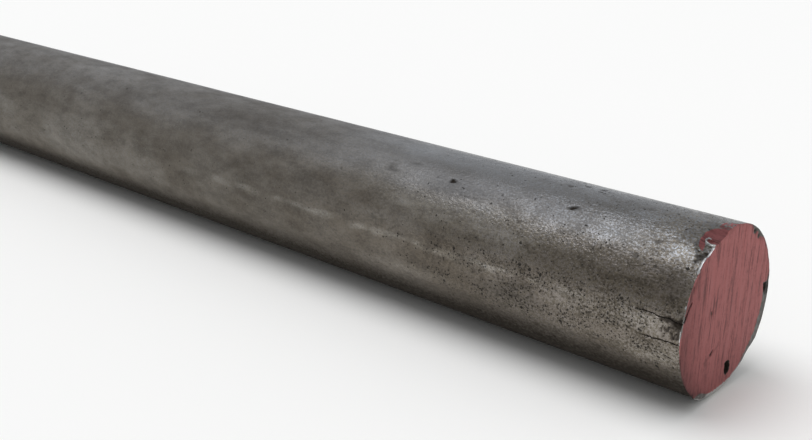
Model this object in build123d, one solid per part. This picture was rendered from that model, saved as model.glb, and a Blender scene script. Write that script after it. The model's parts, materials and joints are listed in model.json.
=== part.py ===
"""Hot-rolled round steel bar, sawn to length.

One piece of steel. It lies on its side along X, with its lowest line on Z = 0 and the origin under
the middle of its length. The painted end is at +X and the bare end at -X. Angles go round the bar
as seen from +X: 0 is +Y and 90 is the top. All lengths are in millimetres.
"""

import os
from math import cos, hypot, radians, sin, sqrt

from build123d import *

# The stock: 1 1/4 inch round, cut to 12 inches.
BAR_DIAMETER = 31.75
BAR_LENGTH = 304.8

# What the saw leaves at each rim: the painted end is almost sharp, the bare end is filed.
PAINTED_EDGE_BREAK = 0.2
BARE_EDGE_BREAK = 0.6

# The painted end's rim is ground back on one side. The bevel is widest in one direction
# and runs out to nothing at BEVEL_SPREAD degrees to each side of it.
BEVEL_ANGLE = -65.0
BEVEL_SPREAD = 62.0
BEVEL_WIDTH = 2.3
BEVEL_SETBACK = 0.88

# A hollow torn out of the same rim, near the top. TEAR_ROUND is the radius of its floor.
TEAR_ANGLE = 112.0
TEAR_DEPTH = 0.65
TEAR_LENGTH = 3.6
TEAR_ROUND = 8.0

# A chip out of the rim, with the round of a ball that stands a little off the face.
CHIP_ANGLE = -3.0
CHIP_ROUND = 2.6
CHIP_STANDOFF = 1.1

# A void that the saw opened in the face: an oval pocket with a round floor, which leans.
VOID_ANGLE = -79.0
VOID_FROM_RIM = 4.4
VOID_WIDTH = 1.3
VOID_HEIGHT = 2.5
VOID_LEAN = 24.0
VOID_DEPTH = 1.4

# Rolling laps: slits along the skin that start at the painted end and run out.
LAP_WIDTH = 0.25
LAP_DEPTH = 0.4
LAPS = ((167.5, 8.0), (-177.5, 6.4))  # angle round the bar, length along it

RADIUS = BAR_DIAMETER / 2
PAINTED_X = BAR_LENGTH / 2
BARE_X = -BAR_LENGTH / 2


def spoke(angle):
    """The unit vector that points outwards from the bar's axis at an angle."""
    return Vector(0, cos(radians(angle)), sin(radians(angle)))


def rim_plane(angle):
    """A frame on the painted end's rim: its X runs out along the bar and its Z points outwards."""
    corner = Vector(PAINTED_X, 0, RADIUS) + spoke(angle) * RADIUS
    return Plane(origin=corner, x_dir=(1, 0, 0), z_dir=spoke(angle))


def rolled_round():
    """The rolled bar with its two sawn rims, turned as one profile about the bar's axis."""
    profile = Polyline(
        (BARE_X, 0),
        (BARE_X, RADIUS - BARE_EDGE_BREAK),
        (BARE_X + BARE_EDGE_BREAK, RADIUS),
        (PAINTED_X - PAINTED_EDGE_BREAK, RADIUS),
        (PAINTED_X, RADIUS - PAINTED_EDGE_BREAK),
        (PAINTED_X, 0),
        close=True,
    )
    return Pos(0, 0, RADIUS) * revolve(make_face(profile), Axis.X)


def ground_bevel():
    """What the grinder took off: all that lies outside a cone set off the bar's axis."""
    offset = BEVEL_WIDTH / (1 - cos(radians(BEVEL_SPREAD)))
    face_radius = RADIUS - BEVEL_WIDTH + offset
    depth = 1.5 * BEVEL_SETBACK
    back_radius = face_radius + depth * BEVEL_WIDTH / BEVEL_SETBACK
    ring = Cylinder(2 * RADIUS, depth, align=(Align.CENTER, Align.CENTER, Align.MIN))
    cone = Cone(back_radius, face_radius, depth, align=(Align.CENTER, Align.CENTER, Align.MIN))
    middle = Vector(PAINTED_X - depth, 0, RADIUS) - spoke(BEVEL_ANGLE) * offset
    return Plane(origin=middle, z_dir=(1, 0, 0)) * (ring - cone)


def rim_tear():
    """The torn hollow: a roller laid across the rim, which meets the face at its full depth."""
    chord = hypot(TEAR_LENGTH, TEAR_DEPTH)
    rise = sqrt(TEAR_ROUND**2 - (chord / 2) ** 2)
    middle_x = -TEAR_LENGTH / 2 + rise * TEAR_DEPTH / chord
    middle_z = -TEAR_DEPTH / 2 + rise * TEAR_LENGTH / chord
    roller = Cylinder(TEAR_ROUND, BAR_DIAMETER, rotation=(90, 0, 0))
    return rim_plane(TEAR_ANGLE) * Pos(middle_x, 0, middle_z) * roller


def rim_chip():
    """The chip: a ball that bites the rim."""
    return rim_plane(CHIP_ANGLE) * Pos(CHIP_STANDOFF, 0, 0) * Sphere(CHIP_ROUND)


def face_void():
    """The pocket in the face: a ball drawn out to the oval's two widths and its depth."""
    mouth = Vector(PAINTED_X, 0, RADIUS) + spoke(VOID_ANGLE) * (RADIUS - VOID_FROM_RIM)
    face = Plane(origin=mouth, x_dir=spoke(-VOID_LEAN), z_dir=(1, 0, 0))
    return face * scale(Sphere(1), by=(VOID_WIDTH / 2, VOID_HEIGHT / 2, VOID_DEPTH))


def rolling_lap(angle, length):
    """One slit: deepest at the painted end, up to the skin where it runs out."""
    slope = LAP_DEPTH / length
    past_end = 1.0
    wedge = Polyline(
        (-length, 0),
        (past_end, -slope * (length + past_end)),
        (past_end, slope * (length + past_end)),
        close=True,
    )
    blade = extrude(Plane.XZ * make_face(wedge), amount=LAP_WIDTH / 2, both=True)
    return rim_plane(angle) * blade


def round_bar():
    bar = rolled_round()
    for cutter in (ground_bevel(), rim_tear(), rim_chip(), face_void()):
        bar -= cutter
    for angle, length in LAPS:
        bar -= rolling_lap(angle, length)
    bar.label = "round_bar"
    return bar


os.makedirs("parts", exist_ok=True)
export_step(round_bar(), "parts/round_bar.step")
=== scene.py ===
"""A hot-rolled round steel bar that lies on a pale floor, with its sawn and painted end in front."""

import json
import random
from math import radians

import bpy
import numpy as np
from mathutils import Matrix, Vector, noise
from mathutils.geometry import delaunay_2d_cdt


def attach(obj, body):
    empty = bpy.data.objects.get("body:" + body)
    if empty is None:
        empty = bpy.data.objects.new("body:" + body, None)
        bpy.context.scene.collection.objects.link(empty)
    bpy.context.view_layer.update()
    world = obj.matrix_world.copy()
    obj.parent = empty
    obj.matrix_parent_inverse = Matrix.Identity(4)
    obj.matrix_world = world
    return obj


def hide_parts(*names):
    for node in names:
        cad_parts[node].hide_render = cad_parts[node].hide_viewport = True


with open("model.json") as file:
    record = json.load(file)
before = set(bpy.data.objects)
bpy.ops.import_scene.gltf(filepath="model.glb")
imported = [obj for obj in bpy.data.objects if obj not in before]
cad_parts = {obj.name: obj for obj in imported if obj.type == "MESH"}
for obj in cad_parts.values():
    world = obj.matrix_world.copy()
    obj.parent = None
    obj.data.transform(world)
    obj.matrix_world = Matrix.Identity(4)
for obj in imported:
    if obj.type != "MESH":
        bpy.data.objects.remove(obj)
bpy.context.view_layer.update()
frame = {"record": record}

# ---------------------------------------------------------------------------------------------
# The bar is one piece of hot-rolled steel. Its skin is a rolled round that isn't quite true, with
# scale pits, open laps and a torn rim. It is laid out as rows along the bar and columns round it.

# Lengths are in millimetres and angles in degrees. A place on the skin is (back, angle): how far back
# it is from the painted end, and how far round the bar, with 0 on the +Y side and 90 on top.
MM = 0.001
stock = next(m for m in frame["record"]["mounts"] if m["name"] == "bar_outside")
radius = stock["dims"]["r_mm"]
length = stock["dims"]["length_mm"]
axis_height = stock["pos_m"][2] / MM

# Columns stand closer where the narrow marks are: (angle, how wide, how many more).
CROWDED = (
    (168.0, 2.2, 2.6),
    (-177.0, 2.2, 2.6),
    (-166.8, 1.6, 2.6),
    (114.0, 15.0, 1.3),
    (132.0, 9.0, 0.7),
)
COLUMNS = 430
FAR_COLUMNS = COLUMNS // 2

# Rows near the painted end: (from, to, step). Behind them the rows stand wider and wider apart.
FINE_END = 60.0
NEAR_ROWS = ((0, 3.9, 0.13), (3.9, 12, 0.3), (12, FINE_END, 0.65))
FAR_ROWS = 110
FAR_SPREAD = 1.12

# Each lap: where it starts and how far it runs, its angle, how far it slants, and its width.
LAPS = (
    (0.0, 9.3, 168.8, -1.5, 0.09),
    (0.5, 7.6, -177.6, 0.8, 0.12),
    (1.7, 1.4, -166.0, -1.9, 0.08),
)
LAP_DEPTH = 0.3

# The hollow torn out of the rim, and the curl of steel that stands up in it, as a line of places.
TEAR = {"angle": 112.0, "half_angle": 14.5, "length": 3.7, "depth": 0.55}
CURL = (
    (0.1, 114.6),
    (0.6, 115.4),
    (1.2, 115.0),
    (2.0, 113.8),
    (2.3, 111.9),
    (2.0, 110.2),
    (1.4, 110.9),
)
CURL_HEIGHT = 0.42

# The pits that are made one by one: (back, angle, half width, depth). Behind them come small ones,
# drawn at random between these widths and depths.
LARGE_PITS = (
    (28.1, 116.1, 0.62, 0.30),
    (27.6, 114.4, 0.4, 0.22),
    (32.9, 93.1, 0.5, 0.2),
    (27.1, 85.5, 0.5, 0.2),
    (30.2, 86.3, 0.4, 0.15),
    (55.3, 120.8, 0.7, 0.3),
    (70.8, 123.0, 1.5, 0.09),
)
SMALL_PITS = 190
SMALL_PIT_HALF = (0.3, 0.6)
SMALL_PIT_DEPTH = (0.03, 0.09)

# The skin lies a little under size, and rises and falls in long waves and short ones.
UNDER_SIZE = 0.045
LONG_WAVE = 0.025
SHORT_WAVE = 0.004


def smooth(low, high, value):
    """0 at low, 1 at high and a soft step between them."""
    share = np.clip((value - low) / (high - low), 0, 1)
    return share * share * (3 - 2 * share)


def fade(low, high, value):
    """1 below low, 0 above high and a soft step between them."""
    return 1 - smooth(low, high, value)


def turn(angle, centre):
    """How far an angle is from a centre, from -180 to 180 degrees."""
    return (angle - centre + 180) % 360 - 180


def aside(angle, centre):
    """How far an angle is from a centre, in millimetres on the skin."""
    return np.radians(turn(angle, centre)) * radius


def arc(angle, centre, half, low=0.6, high=1.1):
    """1 round a centre and 0 beyond about half degrees of it, fading between low and high times half."""
    return fade(low, high, np.abs(turn(angle, centre)) / half)


def blob(back, angle, where, half, ragged=0.0):
    """1 in the middle of a mark and 0 outside it, with a soft edge. half is its half length and half
    width in millimetres, and ragged roughens its outline."""
    along = (back - where[0]) / half[0]
    across = aside(angle, where[1]) / half[1]
    return fade(0.45, 1.1, np.hypot(along, across) * np.maximum(1 + ragged, 0.3))


def place(back, angle, reach):
    """Points for places on the skin, at a reach from the bar's axis."""
    around = np.radians(angle)
    across, up = reach * np.cos(around), axis_height + reach * np.sin(around)
    return np.stack(np.broadcast_arrays(length / 2 - back, across, up), axis=-1)


def patches(points, size, seed, octaves=2, stretch=1.0):
    """Noise of about -1 to 1, in patches of that size, stretch times as long along the bar."""
    shift = Vector((17.3, 5.1, 9.7)) * seed
    scaled = points / np.array((size * stretch, size, size))
    found = [noise.fractal(Vector(p) + shift, 1.0, 2.0, octaves) for p in scaled.reshape(-1, 3)]
    return np.array(found).reshape(points.shape[:-1])


def from_line(across, up, line):
    """Distance from a line through points on a flat sheet."""
    nearest = np.full(np.shape(across), np.inf)
    for (a0, u0), (a1, u1) in zip(line, line[1:]):
        run = (a1 - a0, u1 - u0)
        share = ((across - a0) * run[0] + (up - u0) * run[1]) / (run[0] ** 2 + run[1] ** 2)
        share = np.clip(share, 0, 1)
        nearest = np.minimum(nearest, np.hypot(across - a0 - share * run[0], up - u0 - share * run[1]))
    return nearest


def from_curl(back, angle):
    """Distance on the skin from the line of the curl."""
    middle = CURL[0][1]
    return from_line(back, aside(angle, middle), [(b, aside(a, middle)) for b, a in CURL])


def column_angles():
    """Angles round the bar, closer together where the narrow marks are."""
    fine = np.arange(0, 360, 0.05)
    weight = np.ones_like(fine)
    for centre, wide, more in CROWDED:
        weight += more * np.exp(-((turn(fine, centre) / wide) ** 2))
    total = np.concatenate(([0], np.cumsum(weight)))
    edges = np.append(fine, 360.0)
    return np.interp(np.arange(COLUMNS) / COLUMNS * total[-1], total, edges)


def rows_back():
    """Distances back from the painted rim to the near rows and to the far rows."""
    near = np.concatenate([np.arange(*rows) for rows in NEAR_ROWS])
    start = near[-1] + NEAR_ROWS[-1][-1]
    return near, start + (length - start) * np.linspace(0, 1, FAR_ROWS)[:-1] ** FAR_SPREAD


def pit_places():
    """Every pit that is made one by one, the large ones first."""
    chance = random.Random(11)
    found = list(LARGE_PITS)
    for _ in range(SMALL_PITS):
        back = chance.random() ** 1.6 * FINE_END * 1.3
        angle = chance.uniform(0, 360)
        found.append((back, angle, chance.uniform(*SMALL_PIT_HALF), chance.uniform(*SMALL_PIT_DEPTH)))
    return found


def lap_depth(back, angle, wobble):
    """The open laps: narrow slits that run back along the skin from near the painted end."""
    depth = np.zeros_like(back)
    for start, run, centre, slant, broad in LAPS:
        gone = (back - start) / run
        middle = centre + slant * gone + 0.35 * np.sin(back * 1.7) + 0.7 * wobble
        left = np.clip(1 - gone, 0, 1) * smooth(start - 0.2, start + 0.1, back)
        width = broad + 0.04 * left * (1 + 0.6 * wobble)
        slit = fade(0.4, 1, np.abs(aside(angle, middle)) / width)
        depth = np.maximum(depth, LAP_DEPTH * slit * smooth(0, 0.2, left))
    return depth


def tear_depth(back, angle, wobble):
    """The hollow torn out of the rim, deepest at the front."""
    sides = np.abs(turn(angle, TEAR["angle"]) / TEAR["half_angle"])
    far = np.clip(back, 0, None) / TEAR["length"]
    edge = (sides**2.6 + far**2.6) ** (1 / 2.6) * (1 + 0.12 * wobble)
    return TEAR["depth"] * (1 - 0.13 * back) * fade(0.72, 1.04, edge)


def skin(back, angle):
    """How far the skin reaches from the axis, how deep its pits and laps are, how much of the curl there
    is, and the noise that roughens every mark's outline."""
    points = place(back, angle, radius)
    wobble = patches(points, 0.8, 3)
    wave = UNDER_SIZE + LONG_WAVE * patches(points, 14.0, 1, 2, 3.0)
    wave = wave + SHORT_WAVE * patches(points, 1.8, 2, 3, 1.4)
    pits = np.zeros_like(back)
    for at_back, at_angle, half, deep in pit_places():
        pit = blob(back, angle, (at_back, at_angle), (half, half), 0.5 * wobble)
        pits = np.maximum(pits, deep * pit)
    laps = lap_depth(back, angle, wobble)
    curl = fade(0.08, 0.3, from_curl(back, angle) * (1 + 0.3 * wobble))
    hollow = np.maximum.reduce((pits, laps, tear_depth(back, angle, wobble)))
    return radius - wave - hollow + CURL_HEIGHT * curl, pits, laps, curl, wobble


# ---------------------------------------------------------------------------------------------
# The painted end was cut with a band saw. Its rim is almost sharp along the top and ground back in two
# strokes at the lower right. Thin burrs still stand up from it in four places, some rubbed bright.

# Each stroke: its middle, how far it goes to either side, how far back it takes the rim, and how wide
# it shows on the face. Elsewhere the sharp edge is broken by a little.
STROKES = ((-28.0, 40.0, 0.2, 2.0), (-80.0, 46.0, 1.15, 1.35))
EDGE_BREAK = 0.15

# Each burr: its middle, half its length in degrees, and its height.
BURRS = ((126.0, 15.0, 0.17), (151.0, 15.0, 0.06), (-26.0, 22.0, 0.16), (-118.0, 11.0, 0.26))

# Where the paint is rubbed off inside the rim: the arc, as the arc function takes it, and the share
# of the radius that is bare.
RUBBED = (
    ((54, 15, 0.4, 1), 0.045),
    ((-28, 36, 0.7, 1.15), 0.125),
    ((-72, 32, 0.75, 1.1), 0.105),
    ((-104, 20, 0.7, 1.1), 0.08),
    ((167, 14, 0.5, 1), 0.03),
    ((30, 40, 0.85, 1.1), 0.014),
)


def on_rim(angle):
    """Points on the rim of the painted end."""
    return place(np.zeros_like(angle), angle, radius)


def bevel(angle):
    """How far back along the bar the rim is taken off, and how wide that shows on the face."""
    uneven = patches(on_rim(angle), 2.0, 5, 3)
    back = EDGE_BREAK * (1 + 0.5 * uneven)
    wide = EDGE_BREAK * (1 + 0.7 * uneven)
    for centre, spread, deep, broad in STROKES:
        edge = np.cos(radians(spread))
        share = np.clip((np.cos(np.radians(angle - centre)) - edge) / (1 - edge), 0, 1) ** 0.75
        back = np.maximum(back, deep * share * (1 + 0.06 * uneven))
        wide = np.maximum(wide, broad * share * (1 + 0.06 * uneven))
    return back, wide


def burr(angle):
    """Height of the burrs that stand out from the rim."""
    high = np.zeros_like(angle)
    for centre, half, tall in BURRS:
        high = np.maximum(high, tall * arc(angle, centre, half, 0.4, 1.05))
    return high * np.clip(0.85 + 0.4 * patches(on_rim(angle), 1.2, 8), 0.3, 1.2)


def painted_to(angle):
    """How far out from the axis the paint reaches on the face, before the noise at its edge."""
    bare = np.zeros_like(angle)
    for rubbed, share in RUBBED:
        bare = np.maximum(bare, share * radius * arc(angle, *rubbed))
    worn = smooth(0.02, 0.1, bare / radius) * patches(on_rim(angle), 0.9, 6, 3)
    return radius + 0.1 - bare + 0.25 * worn


# ---------------------------------------------------------------------------------------------
# The skin carries dark mill scale, which is worn lighter in some places and stained in others, and a
# thin bright seam runs along its left. Red paint ran over the top of the rim and into the tear. Some
# of its lighter and darker areas, and its dark underside, are painted light and shade.

# What each point of the bar carries for its finish: how far it is inside the paint in millimetres,
# how much bare steel shows, how much lighter (+) or darker (-) it is, from wear and stains and from
# painted light and shade, and how many pits are open.
CARRIED = ("paint", "bare", "tone", "pitted")

# How far the paint ran back over the top of the rim, and how far it goes into the tear, where the
# curl cuts it off on one side.
RED_OVER_TOP = {"arc": (92, 12, 0.2, 1.0), "length": 2.3}
RED_TEAR = {"angle": 109.5, "half_angle": 12.5, "length": 3.35}
CURL_FOOT = (1.4, 112.6)
SEAM = {"angle": 173.3, "half_width": 0.9}

# Lips of the rim that are rubbed bright, and the burrs that are, each as an arc.
UPPER_LIP = (151, 12)
CORNER_LIP = (162.5, 6, 0.6, 1)
SIDE_LIP = (178, 5.5, 0.7, 1)
BRIGHT_BURRS = ((126, 16), (-117, 14))

# Painted shade on the underside: how far from straight down it is full, and where it ends.
STRAIGHT_DOWN = -90
PAINTED_UNDERSIDE_SHADE = (50, 77)

# The stain behind the left of the rim, in full patches and in speckled ones: the middle, half the
# length and width, how ragged, and how dark.
FULL_STAINS = (((2.5, 168.6), (2.2, 0.8), 0.5, 0.85), ((0.7, 170.0), (1.7, 1.2), 0.4, 0.97))
SPECKLED_STAINS = (((2.2, 174.0), (1.7, 1.2), 0.8, 0.85), ((1.0, 176.6), (1.2, 1.9), 0.8, 0.85))

# Smudges with an edge, and a painted shadow just below the curl (the first): the middle, half the
# length and width, how ragged, and how much lighter.
SMUDGES_AND_CURL_SHADOW = (
    ((1.4, 118.0), (1.3, 1.2), 0.8, -0.3),
    ((4.9, 112.0), (2.4, 3.2), 0.9, -0.4),
    ((2.4, 97.5), (3.0, 2.1), 0.5, -0.4),
    ((5.2, 123.0), (2.2, 2.2), 0.5, 0.2),
    ((2.6, 149.0), (3.6, 3.4), 0.3, -0.3),
    ((6.0, 174.0), (4.0, 1.9), 0.4, 0.3),
    ((2.0, -169.0), (4.5, 2.2), 0.3, 0.25),
    ((46.0, 143.5), (24.0, 3.8), 0.3, 0.4),
    ((32.0, 177.7), (4.2, 1.6), 0.9, -0.24),
    ((66.0, 155.5), (4.0, 2.2), 0.9, -0.24),
    ((74.0, 150.0), (4.5, 2.1), 0.9, -0.24),
    ((90.0, 151.0), (7.5, 2.8), 0.9, -0.24),
)

# Long belts: the arc, where on the bar it is off and where it is full, and how much lighter.
BELTS = (
    ((176, 8, 0.75, 1.2), (70, 20), 0.12),
    ((182, 19, 0.75, 1.2), (30, 8), 0.3),
    ((183, 26, 0.75, 1.2), (100, 200), 0.3),
    ((152, 12, 0.7, 1.2), (90, 60), 0.14),
    ((114, 14, 0.6, 1.2), (70, 105), -0.12),
)

# Broad areas that fade out all round, partly wear and dark scale and partly painted light and shade:
# the middle, how far they go both ways, and how much lighter.
WEAR_AND_PAINTED_LIGHT_AREAS = (
    ((52, 122), (9, 2.6), -0.15),
    ((55, 133), (9, 2.6), -0.23),
    ((41, 117), (7, 2.2), -0.05),
    ((29, 122), (7, 2.6), -0.14),
    ((16, 126), (5, 1.8), 0.26),
    ((14, 102), (4, 1.4), 0.2),
    ((6, 133), (5, 1.2), 0.14),
    ((70, 144), (9, 4.5), 0.3),
    ((40, 146), (7, 2.0), -0.17),
    ((70, 97), (14, 3.0), 0.27),
    ((7, 147), (9, 3.0), -0.32),
    ((120, 117), (35, 3.0), -0.13),
    ((115, 160), (33, 4.5), -0.13),
    ((36, 186), (8, 2.2), -0.36),
    ((36, 207), (10, 2.0), -0.14),
    ((60, 197), (14, 2.2), 0.22),
    ((7, 197), (5, 2.2), 0.45),
    ((190, 103), (30, 3.5), 0.18),
    ((190, 164), (30, 3.0), -0.1),
)

# The share of the scale pits that are open all round, and arcs with more (+) or fewer (-) of them.
PITTED_BASE = 0.13
PITTED_BELTS = (
    ((178, 17, 0.75, 1.2), 0.7),
    ((120, 16), -0.07),
    ((-18, 20, 0.6, 1.2), 0.4),
)


def over_top(back, angle):
    """How far inside the paint that ran over the top of the rim a place is, in millimetres."""
    return RED_OVER_TOP["length"] * arc(angle, *RED_OVER_TOP["arc"]) - 0.1 - back


def in_red_tear(back, angle, short=0.0):
    """How far inside the red part of the tear a place is, with its far edge drawn in by short."""
    sides = np.abs(turn(angle, RED_TEAR["angle"]) / RED_TEAR["half_angle"])
    reach = RED_TEAR["length"] * np.sqrt(np.clip(1 - sides**3.2, 0, 1))
    beyond_curl = 2.4 * smooth(111.8, 114, angle) - 0.6
    return np.minimum(reach - short - back, back - beyond_curl)


def paint_on_skin(back, angle, curl):
    """How far inside the paint a place on the skin is, in millimetres."""
    paint = np.minimum(over_top(back, angle), 0.02)
    paint = np.maximum(paint, np.minimum(painted_to(angle) - radius, 0.05) - back)
    paint = np.maximum(paint, 2.0 * in_red_tear(back, angle, 0.1))
    return paint - (3.0 * curl + 0.5 * blob(back, angle, CURL_FOOT, (1.3, 1.3)))


def seam_line(back, angle, wobble):
    """The bright seam, broken into dashes."""
    off = np.abs(aside(angle, SEAM["angle"] + 0.8 * wobble)) / SEAM["half_width"]
    seam = smooth(12, 22, back) * fade(95, 150, back) * fade(0.4, 1.2, off)
    return seam * smooth(-0.25, 0.45, patches(place(back, angle, radius), 2.6, 9, 2, 2.2))


def black_stain(back, angle, wobble):
    """How black the stain behind the left of the rim is, from 0 to 1."""
    broken = patches(place(back, angle, radius), 0.6, 31, 2)
    speckled = smooth(-0.35, 0.1, broken)
    stain = np.zeros_like(back)
    for where, half, ragged, dark in FULL_STAINS:
        stain = np.maximum(stain, dark * blob(back, angle, where, half, ragged * (wobble + broken)))
    for where, half, ragged, dark in SPECKLED_STAINS:
        stain = np.maximum(stain, dark * speckled * blob(back, angle, where, half, ragged * wobble))
    return stain


def open_pits(back, angle):
    """The share of the scale pits that are open: most are in a belt along each side."""
    share = PITTED_BASE + sum(more * arc(angle, *belt) for belt, more in PITTED_BELTS)
    return share * (1 - 0.97 * smooth(28, 74, back))


def skin_rows(rows, columns, taken_off, raised):
    """Points on the skin for each row and column, how far they reach, and what they carry."""
    back = rows[:, None] + taken_off * fade(0, 5, rows)[:, None]
    angle = np.broadcast_to(columns, back.shape)
    reach, pits, laps, curl, wobble = skin(back, angle)
    reach = reach + raised * fade(0.1, 0.5, rows)[:, None]
    seam = seam_line(back, angle, wobble)
    upper_lip = fade(0.3, 0.9, back) * arc(angle, *UPPER_LIP)
    side_lip = fade(0.15, 0.55, back) * arc(angle, *SIDE_LIP)

    burred = np.any([np.abs(turn(angle, centre)) < half for centre, half in BRIGHT_BURRS], axis=0)
    bare = 0.9 * curl + 0.22 * seam + 0.16 * upper_lip + 0.7 * side_lip
    bare += fade(0.15, 0.6, rows)[:, None] * smooth(0.02, 0.1, raised) * burred
    bare += 0.45 * fade(0.1, 0.5, back) * arc(angle, *CORNER_LIP)
    bare += 0.35 * blob(back, angle, CURL_FOOT, (1.2, 1.2))

    # Pits and laps are darker the deeper they are, partly their own dark colour and partly painted shade
    # in the hollows.
    tone = 0.6 * seam + 0.3 * upper_lip - 4.0 * pits - 2.5 * laps
    tone -= 0.8 * blob(back, angle, (1.2, 126.4), (1.2, 1.3), 0.8 * wobble) * smooth(0.3, 0.6, back)
    # Smudges, and the painted shadow below the curl.
    for where, half, ragged, lighter in SMUDGES_AND_CURL_SHADOW:
        tone += lighter * blob(back, angle, where, half, ragged * wobble)
    for belt, (off, full), lighter in BELTS:
        tone += lighter * arc(angle, *belt) * smooth(off, full, back)
    # Broad areas of wear and of painted light and shade.
    for (middle, centre), (long, wide), lighter in WEAR_AND_PAINTED_LIGHT_AREAS:
        tone += lighter * np.exp(-(((back - middle) / long) ** 2) - (aside(angle, centre) / wide) ** 2)
    stain = black_stain(back, angle, wobble)
    tone = tone * (1 - stain) - 0.97 * stain * (1 - side_lip)
    # Painted shade darkens the underside.
    tone -= 0.93 * fade(*PAINTED_UNDERSIDE_SHADE, np.abs(turn(angle, STRAIGHT_DOWN)))
    # The paint over the top of the rim is made darker: painted shade against the light from above.
    tone -= 0.2 * smooth(-0.3, 0.3, over_top(back, angle))
    red = smooth(-0.1, 0.4, in_red_tear(back, angle))
    tone = tone * (1 - red) - 0.49 * red
    carried = (paint_on_skin(back, angle, curl), bare, tone, open_pits(back, angle))
    return place(back, angle, reach), reach, carried


angles = column_angles()
near_rows, far_rows = rows_back()
rim_back, rim_wide = bevel(angles)
burr_high = burr(angles)
near_points, near_reach, near_carried = skin_rows(near_rows, angles, rim_back, burr_high)
far_points, far_reach, far_carried = skin_rows(far_rows, angles[::2], *np.zeros((2, FAR_COLUMNS)))

# ---------------------------------------------------------------------------------------------
# The sawn face has upright saw marks that lean a little, a void, a chip at the rim, a crack and some
# specks. Red paint covers it as far as the rim, which is bare where it was ground.

# How far the face lies inside the end's plane, and how far the saw marks go sideways for each
# millimetre up.
FACE_BACK = 0.12
SAW_LEAN = 0.0325
BEVEL_ROWS = 7

# Places on the face are (y, z) from the axis. The last three are lines of places.
VOID = {"at": (2.25, -11.4), "half": (1.04, 1.4), "lean": radians(-12), "ragged": 0.2}
CHIP = {"at": (14.7, 0.05), "half": (1.05, 1.25), "lean": radians(10), "ragged": 0.3}
HOLE_DEPTH = 1.3
SPECK_DEPTH = 0.35
CRACK_DEPTH = 0.4
RIDGE_HEIGHT = 0.04
SPECK = ((-4.45, -6.6), (-3.85, -5.85))
STREAK = ((-6.6, -7.3), (-4.4, -6.6), (-2.0, -5.6))
CRACK = ((-12.9, 5.95), (-13.4, 5.5), (-14.0, 4.7), (-14.5, 3.85), (-14.9, 3.3))

# Small spots: the middle and the half width.
SPOTS = (
    ((-4.42, -6.5), 0.36),
    ((-12.6, 8.3), 0.42),
    ((-5.5, 1.5), 0.34),
    ((7.8, 12.9), 0.6),
    ((9.4, 11.5), 0.4),
    ((12.6, 9.0), 0.35),
)

# Arcs of the rim, of which the face has some too: ground bright along the bottom, with dirt at the chip
# and at the upper right, darker at the foot of the low burr, ground dull at the right, and dark at left.
GROUND_LOW = (-89.5, 34, 0.86, 1.03)
CHIPPED = (0, 6)
UPPER_RIGHT = (37, 34, 0.85, 1.1)
FOOT = (-118, 13)
GROUND_RIGHT = (-25, 34, 0.7, 1.1)
DARK_LEFT = (-148, 24, 0.8, 1.1)

# The burr that stands at the lower right isn't rubbed bright: its middle, and half its length.
DULL_BURR = (-26, 23)

# Dirt on the paint toward the rim, and at the lower left painted shade: how far out it starts and is
# full, the arc, and how dark.
FACE_DIRT_AND_SHADE = (
    ((0.9, 0.97), (54, 15, 0.6, 1), 0.4),
    ((0.72, 1), (-145, 45), 0.19),
    ((0.9, 0.95), (152, 19, 0.7, 1.1), 0.24),
)

# The face's points stand in rows and columns with these steps, and closer in patches round the holes
# and the specks: (low corner, high corner, steps).
FACE_STEPS = (0.22, 0.7)
FINER = (
    ((0.4, -13.4), (4.2, -9.4), (0.13, 0.13)),
    ((-6.9, -7.7), (-1.7, -5.2), (0.14, 0.14)),
    ((-15.3, 3.0), (-12.4, 6.4), (0.12, 0.16)),
    ((13.2, -2.2), (15.8, 2.0), (0.13, 0.13)),
)

# The three finishes, in the order in which the bar gets them.
SKIN, PAINTED, BARE = range(3)
points, carried, faces, finishes = [], [], [], []


def add_points(made, values):
    """Adds points to the bar with what they carry, and gives their numbers."""
    first = sum(len(p) for p in points)
    shape = made.shape[:-1]
    points.append(made.reshape(-1, 3))
    carried.append(np.stack([np.broadcast_to(v, shape).ravel() for v in values], axis=-1))
    return first + np.arange(len(points[-1])).reshape(shape)


def add_faces(shapes, finish):
    """Adds faces to the bar, all in one finish."""
    faces.extend(shapes)
    finishes.extend([finish] * len(shapes))


def joined(rows):
    """Quads between rows of point numbers, closed round the bar."""
    here, below = np.array(rows[:-1]), np.array(rows[1:])
    quads = (here, below, np.roll(below, -1, 1), np.roll(here, -1, 1))
    return np.stack(quads, axis=-1).reshape(-1, 4).tolist()


def rim_rows(columns, taken_off, wide, raised, outer):
    """Points from the skin's first row in to the face, and what they carry."""
    steps = np.linspace(0, 1, BEVEL_ROWS + 1)[1:, None]
    bulge = 0.12 * np.sin(np.pi * steps)
    wide = wide + 1.2 * raised
    reach = outer - wide * (steps - bulge)
    lift = np.minimum(raised, 0.11) * np.sin(np.pi * np.minimum(steps * 1.15, 1))
    back = FACE_BACK + (taken_off - FACE_BACK) * (1 - steps - bulge) - lift
    angle = np.broadcast_to(columns, reach.shape)
    made = place(back, angle, reach)
    low = arc(angle, *GROUND_LOW)
    right = smooth(0.2, 0.5, wide) * (1 - low)
    burred = smooth(0.05, 0.12, raised) * (np.abs(turn(angle, DULL_BURR[0])) > DULL_BURR[1])
    tip = smooth(0.3, 0.65, steps) * arc(angle, *FOOT)
    bare = np.maximum(smooth(0.25, 0.5, wide) * 0.9 * low, burred) * (1 - 0.7 * tip)
    tone = 0.35 * right * (patches(made, 0.7, 23) - 0.2) - (0.15 + 0.6 * fade(0.1, 0.5, steps)) * right
    tone = tone - 0.7 * arc(angle, *DARK_LEFT) * (1 - burred)
    tone = tone - 0.5 * arc(angle, *CHIPPED) - 0.36 * arc(angle, *UPPER_RIGHT) - 0.3 * tip
    return made, (painted_to(angle) - reach, bare, tone, 0.0)


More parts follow.
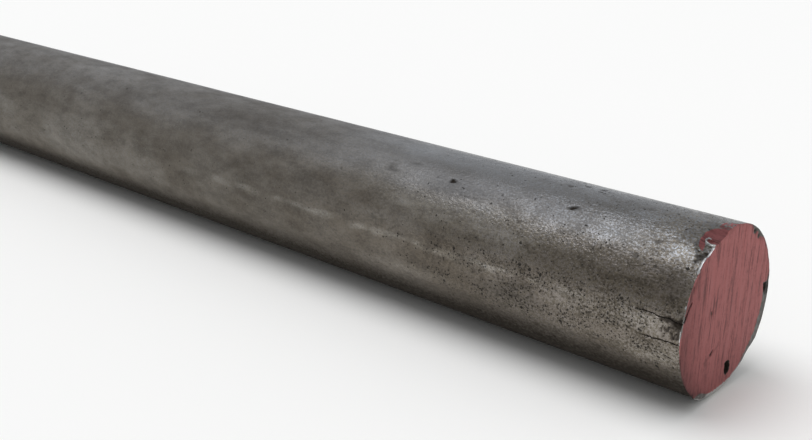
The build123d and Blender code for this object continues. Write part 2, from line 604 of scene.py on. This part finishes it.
def from_hole(y, z, hole, wobble):
    """Below 1 inside a hole in the face, above 1 outside it."""
    side, up = y - hole["at"][0], z - hole["at"][1]
    across = side * np.cos(hole["lean"]) + up * np.sin(hole["lean"])
    along = up * np.cos(hole["lean"]) - side * np.sin(hole["lean"])
    across = np.abs((across + 0.22 * along) / hole["half"][0])
    along = np.abs(along / hole["half"][1])
    return (across**2.4 + along**2.4) ** (1 / 2.4) * (1 + hole["ragged"] * wobble)


def painted_cut(y, z):
    """How far back from the end's plane the painted face lies, and what it carries."""
    flat = np.stack((np.zeros_like(y), y - SAW_LEAN * z, z), axis=-1)
    wobble = patches(flat, 0.7, 22)
    ridges = patches(flat * (1, 1, 0.06), 1.1, 21, 3)
    holes = np.minimum(from_hole(y, z, VOID, wobble), from_hole(y, z, CHIP, wobble))
    speck_end = np.hypot(y - SPECK[0][0], z - SPECK[0][1])
    specks = fade(0.1, 0.36, from_line(y, z, SPECK) + 0.12 * speck_end)
    for (at_y, at_z), half in SPOTS:
        spot = np.hypot(y - at_y, z - at_z) / half * (1 + 0.4 * wobble)
        specks = np.maximum(specks, 0.7 * fade(0.4, 1.1, spot))
    crack = fade(0.1, 0.26, from_line(y, z, CRACK) * (1 + 0.4 * wobble))
    back = FACE_BACK + RIDGE_HEIGHT * ridges + HOLE_DEPTH * fade(0.72, 0.92, holes)
    back += SPECK_DEPTH * specks + CRACK_DEPTH * crack

    angle, reach = np.degrees(np.arctan2(z, y)), np.hypot(y, z)
    # The holes, the crack and the specks are dark, and in the holes this is partly painted shade.
    dark = fade(0.94, 1.06, holes)
    paint = np.minimum(painted_to(angle) - reach, 1.0) - 3.0 * dark - 2.5 * crack - 2.5 * specks
    tone = -0.95 * dark - 0.9 * crack - 0.95 * specks
    tone -= 0.22 * fade(0.1, 0.5, from_line(y, z, STREAK) * (1 + 0.5 * wobble))
    # Dirt toward the rim, with painted shade at the lower left.
    for outwards, around, darker in FACE_DIRT_AND_SHADE:
        tone -= darker * smooth(*outwards, reach / radius) * arc(angle, *around)
    # Painted light and shade: the face is lighter toward its top and right, darker toward its bottom and
    # left.
    tone += 0.06 * smooth(-0.2, 0.8, z / radius) - 0.2 * smooth(0.2, 0.95, -z / radius)
    tone += 0.06 * smooth(-0.1, 0.5, y / radius) - 0.25 * smooth(0.3, 0.88, -y / radius)

    beyond = smooth(-0.1, 0.15, -paint) * (1 - dark) * smooth(0.6, 0.8, reach / radius)
    low = arc(angle, *GROUND_LOW)
    right = arc(angle, *GROUND_RIGHT) * (1 - low)
    tone -= beyond * (0.15 * right + 0.5 * arc(angle, *CHIPPED) + 0.12 * arc(angle, *UPPER_RIGHT))
    edge_light = fade(0.1, 0.45, radius - bevel(angle)[1] - reach) * (1 - arc(angle, *FOOT))
    tone -= 0.3 * beyond * low * (1 - edge_light)
    return back, (paint, (0.3 + 0.5 * edge_light) * beyond * low, tone, 0.0)


def grid_points(low, high, steps):
    """Points (y, z) on a flat grid between two corners."""
    axes = (np.arange(*limits) for limits in zip(low, high, steps))
    return np.stack(np.meshgrid(*axes), axis=-1).reshape(-1, 2)


def close_end(ring, ring_ids, surface, steps, finer, finish, front):
    """Closes an end inside a ring, with points on rows and columns that follow the saw marks."""
    inner = grid_points((-radius, -radius), (radius, radius), steps)
    for low, high, _ in finer:
        inner = inner[~np.all((inner > low) & (inner < high), axis=-1)]
    inner = np.concatenate([inner] + [grid_points(*patch) for patch in finer])
    inner[:, 0] += SAW_LEAN * inner[:, 1]
    edge = ring[:, 1:] - (0, axis_height)
    bearings = np.arctan2(edge[:, 1], edge[:, 0])
    limit = np.interp(np.arctan2(inner[:, 1], inner[:, 0]), bearings, np.hypot(*edge.T), period=2 * np.pi)
    inner = inner[np.hypot(*inner.T) < limit - 0.2]

    back, values = surface(*inner.T)
    x = length / 2 - back if front else back - length / 2
    inner_ids = add_points(np.stack((x, inner[:, 0], inner[:, 1] + axis_height), axis=-1), values)
    numbers = np.concatenate((ring_ids, inner_ids)).tolist()
    border = [(j, (j + 1) % len(ring)) for j in range(len(ring))]
    flat = [Vector(p) for p in np.concatenate((edge, inner))]
    found, _, triangles, origins, _, _ = delaunay_2d_cdt(flat, border, [], 1, 1e-6)
    shapes = []
    for triangle in triangles:
        a, b, c = (found[i] for i in triangle)
        corners = [numbers[origins[i][0]] for i in triangle]
        turned_left = (b - a).cross(c - a) > 0
        shapes.append(corners if turned_left == front else corners[::-1])
    add_faces(shapes, finish)


near_ids = add_points(near_points, near_carried)
far_ids = add_points(far_points, far_carried)
rim_points, rim_carried = rim_rows(angles, rim_back, rim_wide, burr_high, near_reach[0])
rim_ids = add_points(rim_points, rim_carried)
add_faces(joined(near_ids) + joined(far_ids), SKIN)
add_faces([quad[::-1] for quad in joined([near_ids[0], *rim_ids])], PAINTED)

# Two near columns meet one far column in three triangles.
for j in range(FAR_COLUMNS):
    a, b, c = (near_ids[-1, (2 * j + k) % COLUMNS] for k in range(3))
    d, e = far_ids[0, j], far_ids[0, (j + 1) % FAR_COLUMNS]
    add_faces([(a, d, b), (b, d, e), (b, e, c)], SKIN)

close_end(rim_points[-1], rim_ids[-1], painted_cut, FACE_STEPS, FINER, PAINTED, front=True)

# ---------------------------------------------------------------------------------------------
# The far end is a plain saw cut, left bare. Its burr was filed off all round, so that its rim is
# slightly rounded.

# The filed rim, row by row: how far in from the end, and how far in from the skin.
FILED = np.array(((0.3, 0.1), (0.1, 0.3), (0.05, 0.6)))
FAR_STEPS = (0.35, 1.1)
NO_PAINT = -1.0


def bare_cut(y, z):
    """How far in from the end's plane the bare face lies, and what it carries."""
    flat = np.stack((np.zeros_like(y), y - SAW_LEAN * z, z * 0.05), axis=-1)
    return 0.06 + 0.04 * patches(flat, 1.4, 31, 3), (NO_PAINT, 0.0, 0.0, 0.0)


filed_reach = far_reach[-1] - FILED[:, 1:]
filed_points = place(length - FILED[:, :1], angles[::2], filed_reach)
filed_ids = add_points(filed_points, (NO_PAINT, 0.5, 0.0, 0.0))
add_faces(joined([far_ids[-1], *filed_ids]), BARE)
close_end(filed_points[-1], filed_ids[-1], bare_cut, FAR_STEPS, (), BARE, front=False)

# ---------------------------------------------------------------------------------------------
# Skin, rims and faces are one closed piece of steel. It stands for the whole bar, and has one finish
# for its skin, one for its painted end and one for its bare end.

SHARP_FROM = radians(38)

mesh = bpy.data.meshes.new("steel_bar")
mesh.from_pydata((np.concatenate(points) * MM).tolist(), [], faces)
mesh.polygons.foreach_set("material_index", finishes)
mesh.polygons.foreach_set("use_smooth", [True] * len(faces))
mesh.set_sharp_from_angle(angle=SHARP_FROM)
for name, values in zip(CARRIED, np.concatenate(carried).astype(np.float32).T):
    mesh.attributes.new(name, "FLOAT", "POINT").data.foreach_set("value", values.copy())
bar = bpy.data.objects.new("steel_bar", mesh)
bpy.context.scene.collection.objects.link(bar)
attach(bar, "root")
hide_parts("round_bar")

# ---------------------------------------------------------------------------------------------
# The skin is grey-brown mill scale: a fine peel over the whole of it, pits where scale has popped
# off, and duller and brighter patches. It is plainer on the -Y side toward the far end.

DARK_SCALE = (0.06, 0.049, 0.035)
LIGHT_SCALE = (0.148, 0.125, 0.094)
TOP_SHEEN_SCALE = (0.107, 0.103, 0.1)
DULL_FLECK = (0.194, 0.188, 0.176)
BROWN_FLECK = (0.213, 0.187, 0.167)
TOP_SHEEN_FLECK = (0.18, 0.181, 0.184)
DARK_CLOUD = (0.8, 0.77, 0.72)
LIGHT_CLOUD = (1.1, 1.1, 1.09)
# The near-black floor of an open pit, which also paints the shade in it.
PIT_FLOOR = (0.019, 0.015, 0.01)

# Two sizes of open pits: how far apart they lie, and what the share of open ones is multiplied by.
PIT_SIZES = ((0.42, 1.1), (0.8, 0.3))

# A Mix node's sockets for its two numbers, its two colours and the mixed colour.
NUMBER_SOCKETS, COLOUR_SOCKETS, MIXED_COLOUR = (2, 3), (6, 7), 2
SOCKET_KINDS = {"Vector": "NodeSocketVector", "Color": "NodeSocketColor"}


def node(tree, kind, inputs=None, **settings):
    """A new node, with its settings and with its inputs set or linked."""
    made = tree.nodes.new(kind)
    for name, value in settings.items():
        setattr(made, name, value)
    for key, value in (inputs or {}).items():
        if isinstance(value, bpy.types.NodeSocket):
            tree.links.new(value, made.inputs[key])
        else:
            made.inputs[key].default_value = value
    return made


def calc(tree, operation, *values, clamp=False):
    """What a Math node makes of some numbers."""
    inputs = dict(enumerate(values))
    return node(tree, "ShaderNodeMath", inputs, operation=operation, use_clamp=clamp).outputs[0]


def vector_calc(tree, operation, *values):
    """What a Vector Math node makes of some vectors."""
    inputs = dict(enumerate(values))
    return node(tree, "ShaderNodeVectorMath", inputs, operation=operation).outputs[0]


def ramp(tree, value, low, high, to_low=0.0, to_high=1.0):
    """A soft step from to_low, where value is low, to to_high, where it is high."""
    inputs = {"Value": value, "From Min": low, "From Max": high, "To Min": to_low, "To Max": to_high}
    return node(tree, "ShaderNodeMapRange", inputs, interpolation_type="SMOOTHSTEP").outputs["Result"]


def between(tree, share, first, second):
    """Mixes two numbers."""
    inputs = {"Factor": share, **dict(zip(NUMBER_SOCKETS, (first, second)))}
    return node(tree, "ShaderNodeMix", inputs).outputs[0]


def blend(tree, share, first, second, kind="MIX"):
    """Mixes two colours."""
    inputs = {"Factor": share}
    for socket, colour in zip(COLOUR_SOCKETS, (first, second)):
        inputs[socket] = colour if isinstance(colour, bpy.types.NodeSocket) else (*colour, 1)
    return node(tree, "ShaderNodeMix", inputs, data_type="RGBA", blend_type=kind).outputs[MIXED_COLOUR]


def grain(tree, vector, scale, detail=2.0, rough=0.5, stretch=(1, 1, 1)):
    """Noise from 0 to 1, with so many patches a millimetre."""
    scaled = vector_calc(tree, "MULTIPLY", vector, stretch)
    inputs = {"Vector": scaled, "Scale": scale, "Detail": detail, "Roughness": rough}
    return node(tree, "ShaderNodeTexNoise", inputs).outputs["Fac"]


def group(name, inputs, outputs):
    """An empty node group, what it is given, and the node that takes its results."""
    tree = bpy.data.node_groups.new(name, "ShaderNodeTree")
    for way, sockets in (("INPUT", inputs), ("OUTPUT", outputs)):
        for socket in sockets:
            kind = SOCKET_KINDS.get(socket, "NodeSocketFloat")
            tree.interface.new_socket(socket, in_out=way, socket_type=kind)
    return tree, tree.nodes.new("NodeGroupInput").outputs, tree.nodes.new("NodeGroupOutput")


def put_out(tree, result, **values):
    """Links a group's results to its outputs."""
    for name, value in values.items():
        tree.links.new(value, result.inputs[name])


def use(tree, shared, **inputs):
    """Puts a node group into a tree, and gives its outputs."""
    return node(tree, "ShaderNodeGroup", inputs, node_tree=shared).outputs


def pit_group():
    """Where scale has popped off: pits so far apart, of which a share is open."""
    tree, given, result = group("scale_pits", ("Vector", "Spacing", "Share"), ("Mask",))
    inputs = {"Vector": given["Vector"], "Scale": 2.2, "Detail": 1.0}
    shift = node(tree, "ShaderNodeTexNoise", inputs).outputs["Color"]
    shift = vector_calc(tree, "MULTIPLY", shift, (0.35, 0.35, 0.35))
    moved = vector_calc(tree, "ADD", given["Vector"], shift)
    inputs = {"Vector": moved, "Scale": calc(tree, "DIVIDE", 1.0, given["Spacing"])}
    cells = node(tree, "ShaderNodeTexVoronoi", inputs).outputs
    lottery = node(tree, "ShaderNodeSeparateColor", {"Color": cells["Color"]}).outputs
    width = ramp(tree, lottery["Red"], 0.1, 1.0, 0.14, 0.5)
    pit = ramp(tree, calc(tree, "DIVIDE", cells["Distance"], width), 0.72, 1.04, 1.0, 0.0)
    drawn = ramp(tree, calc(tree, "SUBTRACT", given["Share"], lottery["Green"]), -0.02, 0.02)
    put_out(tree, result, Mask=calc(tree, "MULTIPLY", pit, drawn))
    return tree


def scale_group(pits):
    """Mill scale over the whole skin."""
    ends = ("Color", "Roughness", "Metallic", "Height")
    tree, given, result = group("mill_scale", ("Vector", "Pitted"), ends)
    at, pitted = given["Vector"], given["Pitted"]
    spot = node(tree, "ShaderNodeSeparateXYZ", {"Vector": at}).outputs

    def along(start, full, *values):
        """A soft step between two distances back from the painted end."""
        return ramp(tree, spot["X"], length / 2 - start, length / 2 - full, *values)

    # Relief and flecks are sharp near the painted end and all along the +Y side.
    other_side = ramp(tree, spot["Y"], -0.1 * radius, 0.6 * radius)
    crisp = calc(tree, "MAXIMUM", along(120, 28, 0.2, 1.0), other_side)
    sharp = calc(tree, "MAXIMUM", along(64, 13, 0.26, 1.0), other_side)

    # The upper skin is greyer and cooler, a painted reflection of the cool light from above, from a
    # little behind the rim to about a third of the way back.
    upper = ramp(tree, spot["Z"], 1.6 * radius, 1.82 * radius, 0.0, 0.68)
    upper = calc(tree, "MULTIPLY", upper, along(5, 18))
    upper = calc(tree, "MULTIPLY", upper, along(110, 50, 0.12, 1.0))

    peel = grain(tree, at, 2.1, 2.0, 0.6, (0.6, 1, 1))
    fleck = grain(tree, at, 3.0, 3.0, 0.7, (0.85, 1, 1))
    patch = grain(tree, at, 0.4, 3.0, 0.65, (0.5, 1, 1))
    blotch = grain(tree, at, 0.11, 3.0, 0.55, (0.5, 1, 1))

    # Pits crowd in the darker patches.
    crowded = calc(tree, "MULTIPLY", pitted, ramp(tree, patch, 0.36, 0.6, 1.3, 0.55))
    masks = []
    for spacing, share in PIT_SIZES:
        share = calc(tree, "MULTIPLY", crowded, share)
        masks.append(use(tree, pits, Vector=at, Spacing=spacing, Share=share)["Mask"])
    pit = calc(tree, "MAXIMUM", *masks)

    tone = calc(tree, "MULTIPLY", calc(tree, "SUBTRACT", peel, 0.5), crisp)
    tone = calc(tree, "MULTIPLY_ADD", patch, 0.55, calc(tree, "ADD", tone, 0.07))
    ground = blend(tree, ramp(tree, tone, 0.12, 0.56), DARK_SCALE, LIGHT_SCALE)
    ground = blend(tree, upper, ground, TOP_SHEEN_SCALE)
    flecked = calc(tree, "MULTIPLY_ADD", calc(tree, "SUBTRACT", patch, 0.5), 0.28, fleck)
    flecked = calc(tree, "MULTIPLY_ADD", pitted, 0.05, flecked)
    flecked = between(tree, sharp, 0.28, ramp(tree, flecked, 0.46, 0.63))
    bright = blend(tree, crisp, DULL_FLECK, BROWN_FLECK)
    # The flecks on top are cooler as well, a painted reflection of the light from above.
    bright = blend(tree, ramp(tree, spot["Z"], 1.5 * radius, 1.85 * radius), bright, TOP_SHEEN_FLECK)
    cloud = blend(tree, ramp(tree, blotch, 0.36, 0.62), DARK_CLOUD, LIGHT_CLOUD)
    colour = blend(tree, 1.0, blend(tree, flecked, ground, bright), cloud, "MULTIPLY")

    rough = ramp(tree, tone, 0.1, 0.56, 0.36, 0.22)
    rough = calc(tree, "ADD", rough, ramp(tree, crisp, 0.1, 0.9, 0.34, 0.0))
    metal = calc(tree, "MULTIPLY_ADD", flecked, 0.42, ramp(tree, crisp, 0.1, 1.0, 0.06, 0.36))
    high = calc(tree, "MULTIPLY_ADD", patch, 0.2, calc(tree, "MULTIPLY", peel, crisp))
    put_out(
        tree,
        result,
        Color=blend(tree, pit, colour, PIT_FLOOR),
        Roughness=calc(tree, "MULTIPLY_ADD", pit, 0.45, rough),
        Metallic=calc(tree, "MULTIPLY", metal, calc(tree, "SUBTRACT", 1.0, pit)),
        Height=calc(tree, "MULTIPLY_ADD", pit, -0.7, high),
    )
    return tree


# ---------------------------------------------------------------------------------------------
# The painted end has one thin coat of flat red paint, darkest in the deepest saw marks. Where it is
# rubbed off, the sawn steel shows, as it does on the whole of the bare end.

RED = (0.207, 0.06, 0.055)
THIN_RED = (0.322, 0.092, 0.085)
DEEP_RED = (0.1, 0.028, 0.026)
SAWN_DARK = (0.13, 0.12, 0.105)
SAWN_LIGHT = (0.24, 0.235, 0.225)
SAWN_DIRT = (0.09, 0.075, 0.06)


def saw_mark_group():
    """The lines that the saw left, from fine and broad grain along its lean."""
    tree, given, result = group("saw_marks", ("Vector",), ("Line",))
    spot = node(tree, "ShaderNodeSeparateXYZ", {"Vector": given["Vector"]}).outputs
    leaning = calc(tree, "MULTIPLY_ADD", spot["Z"], -SAW_LEAN, spot["Y"])
    along = node(tree, "ShaderNodeCombineXYZ", {"Y": leaning, "Z": spot["Z"]}).outputs[0]
    fine = grain(tree, along, 3.2, 2.0, 0.6, (1, 1, 0.06))
    broad = grain(tree, along, 0.9, 2.0, 0.5, (1, 1, 0.08))
    put_out(tree, result, Line=calc(tree, "MULTIPLY_ADD", broad, 0.4, calc(tree, "MULTIPLY", fine, 0.6)))
    return tree


def paint_group(saw_marks):
    """Flat red paint, thinner on the ridges between the saw marks."""
    tree, given, result = group("red_paint", ("Vector",), ("Color", "Roughness", "Height"))
    at = given["Vector"]
    saw = use(tree, saw_marks, Vector=at)
    grit = grain(tree, at, 3.0, 2.0, 0.6)
    mottle = calc(tree, "SUBTRACT", grain(tree, at, 1.1, 3.0, 0.7), 0.5)
    thin = calc(tree, "MULTIPLY_ADD", grit, 0.25, saw["Line"])
    thin = calc(tree, "MULTIPLY_ADD", mottle, 0.35, thin)
    red = blend(tree, ramp(tree, thin, 0.47, 0.68), RED, THIN_RED)
    put_out(
        tree,
        result,
        # The deepest saw marks are darker, partly as painted shade in the grooves.
        Color=blend(tree, ramp(tree, saw["Line"], 0.385, 0.45, 0.65, 0.0), red, DEEP_RED),
        Roughness=ramp(tree, thin, 0.45, 0.85, 0.7, 0.55),
        Height=calc(tree, "MULTIPLY_ADD", grit, 0.15, saw["Line"]),
    )
    return tree


def sawn_group(saw_marks):
    """Bare sawn steel. It is given Pitted, as mill scale is, but has no pits."""
    ends = ("Color", "Roughness", "Metallic", "Height")
    tree, given, result = group("sawn_steel", ("Vector", "Pitted"), ends)
    saw = use(tree, saw_marks, Vector=given["Vector"])
    dirt = grain(tree, given["Vector"], 0.5, 3.0, 0.6)
    steel = blend(tree, ramp(tree, saw["Line"], 0.45, 0.75), SAWN_DARK, SAWN_LIGHT)
    put_out(
        tree,
        result,
        Color=blend(tree, ramp(tree, dirt, 0.5, 0.75, 0.0, 0.6), steel, SAWN_DIRT),
        Roughness=ramp(tree, dirt, 0.4, 0.7, 0.4, 0.6),
        Metallic=ramp(tree, dirt, 0.4, 0.7, 0.6, 0.1),
        Height=saw["Line"],
    )
    return tree


# ---------------------------------------------------------------------------------------------
# Each finish is a ground, of scale or sawn steel, with bare steel and red paint over it. What each
# point of the bar carries says which of them shows there, and how much lighter or darker it is, from
# wear and dirt and from painted light and shade.

BRIGHT_STEEL = (0.44, 0.43, 0.41)
WEAR_AND_LIGHT_LIFT = (2.1, 2.25, 2.42)
DIRT_AND_SHADE = (0.016, 0.011, 0.006)
BUMP = 0.08 * MM


def steel_finish(name, ground, coat, refraction):
    """The material for one part of the bar."""
    material = bpy.data.materials.new(name)
    material.use_nodes = True
    tree = material.node_tree
    shader = tree.nodes["Principled BSDF"]
    at = node(tree, "ShaderNodeTexCoord").outputs["Object"]
    at = vector_calc(tree, "MULTIPLY", at, (1 / MM, 1 / MM, 1 / MM))
    shown = {n: node(tree, "ShaderNodeAttribute", {}, attribute_name=n).outputs["Fac"] for n in CARRIED}
    under = use(tree, ground, Vector=at, Pitted=shown["pitted"])
    over = use(tree, coat, Vector=at)

    # Flakes roughen the edges of the paint and of the bare steel, and mottle the tone.
    flake = calc(tree, "SUBTRACT", grain(tree, at, 1.7, 3.0, 0.65), 0.5)
    paint = ramp(tree, calc(tree, "MULTIPLY_ADD", flake, 1.0, shown["paint"]), -0.04, 0.04)
    unpainted = calc(tree, "SUBTRACT", 1.0, paint)
    bright = ramp(tree, calc(tree, "MULTIPLY_ADD", flake, 1.2, shown["bare"]), 0.35, 0.6)
    bright = calc(tree, "MULTIPLY", bright, unpainted)
    toned = calc(tree, "MULTIPLY", flake, shown["tone"])
    toned = calc(tree, "MULTIPLY_ADD", toned, 1.2, shown["tone"])
    dirt_and_shade = calc(tree, "MULTIPLY", toned, -1.0, clamp=True)

    # Lighter tone lifts the colour, for wear and painted light; darker tone mixes it toward dark, for
    # dirt and painted shade.
    lift = blend(tree, calc(tree, "MAXIMUM", toned, 0.0), (1, 1, 1), WEAR_AND_LIGHT_LIFT)
    colour = blend(tree, 1.0, blend(tree, bright, under["Color"], BRIGHT_STEEL), lift, "MULTIPLY")
    colour = blend(tree, dirt_and_shade, colour, DIRT_AND_SHADE)
    left = calc(tree, "MAXIMUM", calc(tree, "ADD", shown["tone"], 1.0), 0.05)
    inputs = {0: over["Color"], "Scale": left}
    dimmed = node(tree, "ShaderNodeVectorMath", inputs, operation="SCALE").outputs[0]
    rough = between(tree, paint, under["Roughness"], over["Roughness"])
    metal = calc(tree, "MULTIPLY", under["Metallic"], unpainted)
    metal = calc(tree, "MULTIPLY", metal, calc(tree, "SUBTRACT", 1.0, dirt_and_shade))
    metal = calc(tree, "MAXIMUM", metal, calc(tree, "MULTIPLY", bright, 0.6))
    high = between(tree, paint, under["Height"], over["Height"])
    bump = node(tree, "ShaderNodeBump", {"Height": high, "Distance": BUMP, "Strength": 1.0})

    tree.links.new(blend(tree, paint, colour, dimmed), shader.inputs["Base Color"])
    tree.links.new(between(tree, dirt_and_shade, rough, 0.9), shader.inputs["Roughness"])
    tree.links.new(metal, shader.inputs["Metallic"])
    tree.links.new(bump.outputs["Normal"], shader.inputs["Normal"])
    shader.inputs["IOR"].default_value = refraction
    return material


saw_marks = saw_mark_group()
red_paint = paint_group(saw_marks)
sawn_steel = sawn_group(saw_marks)
mesh.materials.append(steel_finish("rolled_skin", scale_group(pit_group()), red_paint, 1.33))
mesh.materials.append(steel_finish("painted_cut", sawn_steel, red_paint, 1.4))
mesh.materials.append(steel_finish("bare_cut", sawn_steel, red_paint, 1.5))

# ---------------------------------------------------------------------------------------------
# The floor is a wide pale sheet. It is lit by one soft light overhead and by a dim plain room, which
# is a little brighter beyond both ends of the bar and on its +Y side.

FLOOR_HALF = 30.0
FLOOR_COLOUR = (0.985, 0.945, 0.87, 1)
ROOM_COLOUR = (0.95, 1.0, 1.08, 1)
OVERHEAD_COLOUR = (0.95, 0.985, 1.07)
OVERHEAD_FROM = (-0.33, -0.12, 1)


def stand(name, data):
    """Puts a new object into the scene."""
    made = bpy.data.objects.new(name, data)
    bpy.context.scene.collection.objects.link(made)
    return made


def aim(thing, backwards):
    """Turns a light or a camera to look against a direction."""
    thing.rotation_mode = "QUATERNION"
    thing.rotation_quaternion = Vector(backwards).to_track_quat("Z", "Y")


floor_mesh = bpy.data.meshes.new("floor")
corners = [(FLOOR_HALF * x, FLOOR_HALF * y, 0) for x, y in ((-1, -1), (1, -1), (1, 1), (-1, 1))]
floor_mesh.from_pydata(corners, [], [(0, 1, 2, 3)])
floor = stand("floor", floor_mesh)
pale = bpy.data.materials.new("floor")
pale.use_nodes = True
shader = pale.node_tree.nodes["Principled BSDF"]
shader.inputs["Base Color"].default_value = FLOOR_COLOUR
shader.inputs["Roughness"].default_value = 1
shader.inputs["Specular IOR Level"].default_value = 0
floor_mesh.materials.append(pale)

room = bpy.data.worlds.new("room")
bpy.context.scene.world = room
room.use_nodes = True
tree = room.node_tree
way = node(tree, "ShaderNodeTexCoord").outputs["Generated"]
way = node(tree, "ShaderNodeSeparateXYZ", {"Vector": way}).outputs
glow = calc(tree, "MULTIPLY_ADD", calc(tree, "ABSOLUTE", way["X"]), 0.24, 0.45)
glow = calc(tree, "MULTIPLY_ADD", way["Y"], 0.2, glow)
tree.links.new(glow, tree.nodes["Background"].inputs["Strength"])
tree.nodes["Background"].inputs["Color"].default_value = ROOM_COLOUR

overhead = bpy.data.lights.new("overhead", "SUN")
overhead.energy = 1.58
overhead.angle = radians(50)
overhead.color = OVERHEAD_COLOUR
aim(stand("overhead", overhead), OVERHEAD_FROM)

# ---------------------------------------------------------------------------------------------
# The camera looks down on the painted end from in front of it, with the bar running back to the
# left. Its place is measured from the middle of the painted end, in radii of the bar.

CAMERA_PLACE = (5.021, -10.644, 5.175)
CAMERA_BACKWARDS = (0.6348, -0.6924, 0.343)

camera_data = bpy.data.cameras.new("camera")
camera_data.lens = 50.3
camera_data.sensor_width = 36
camera = stand("camera", camera_data)
painted_middle = Vector((length / 2, 0, axis_height)) * MM
camera.location = painted_middle + Vector(CAMERA_PLACE) * radius * MM
aim(camera, CAMERA_BACKWARDS)
bpy.context.scene.camera = camera

bpy.context.scene.view_settings.view_transform = "Standard"
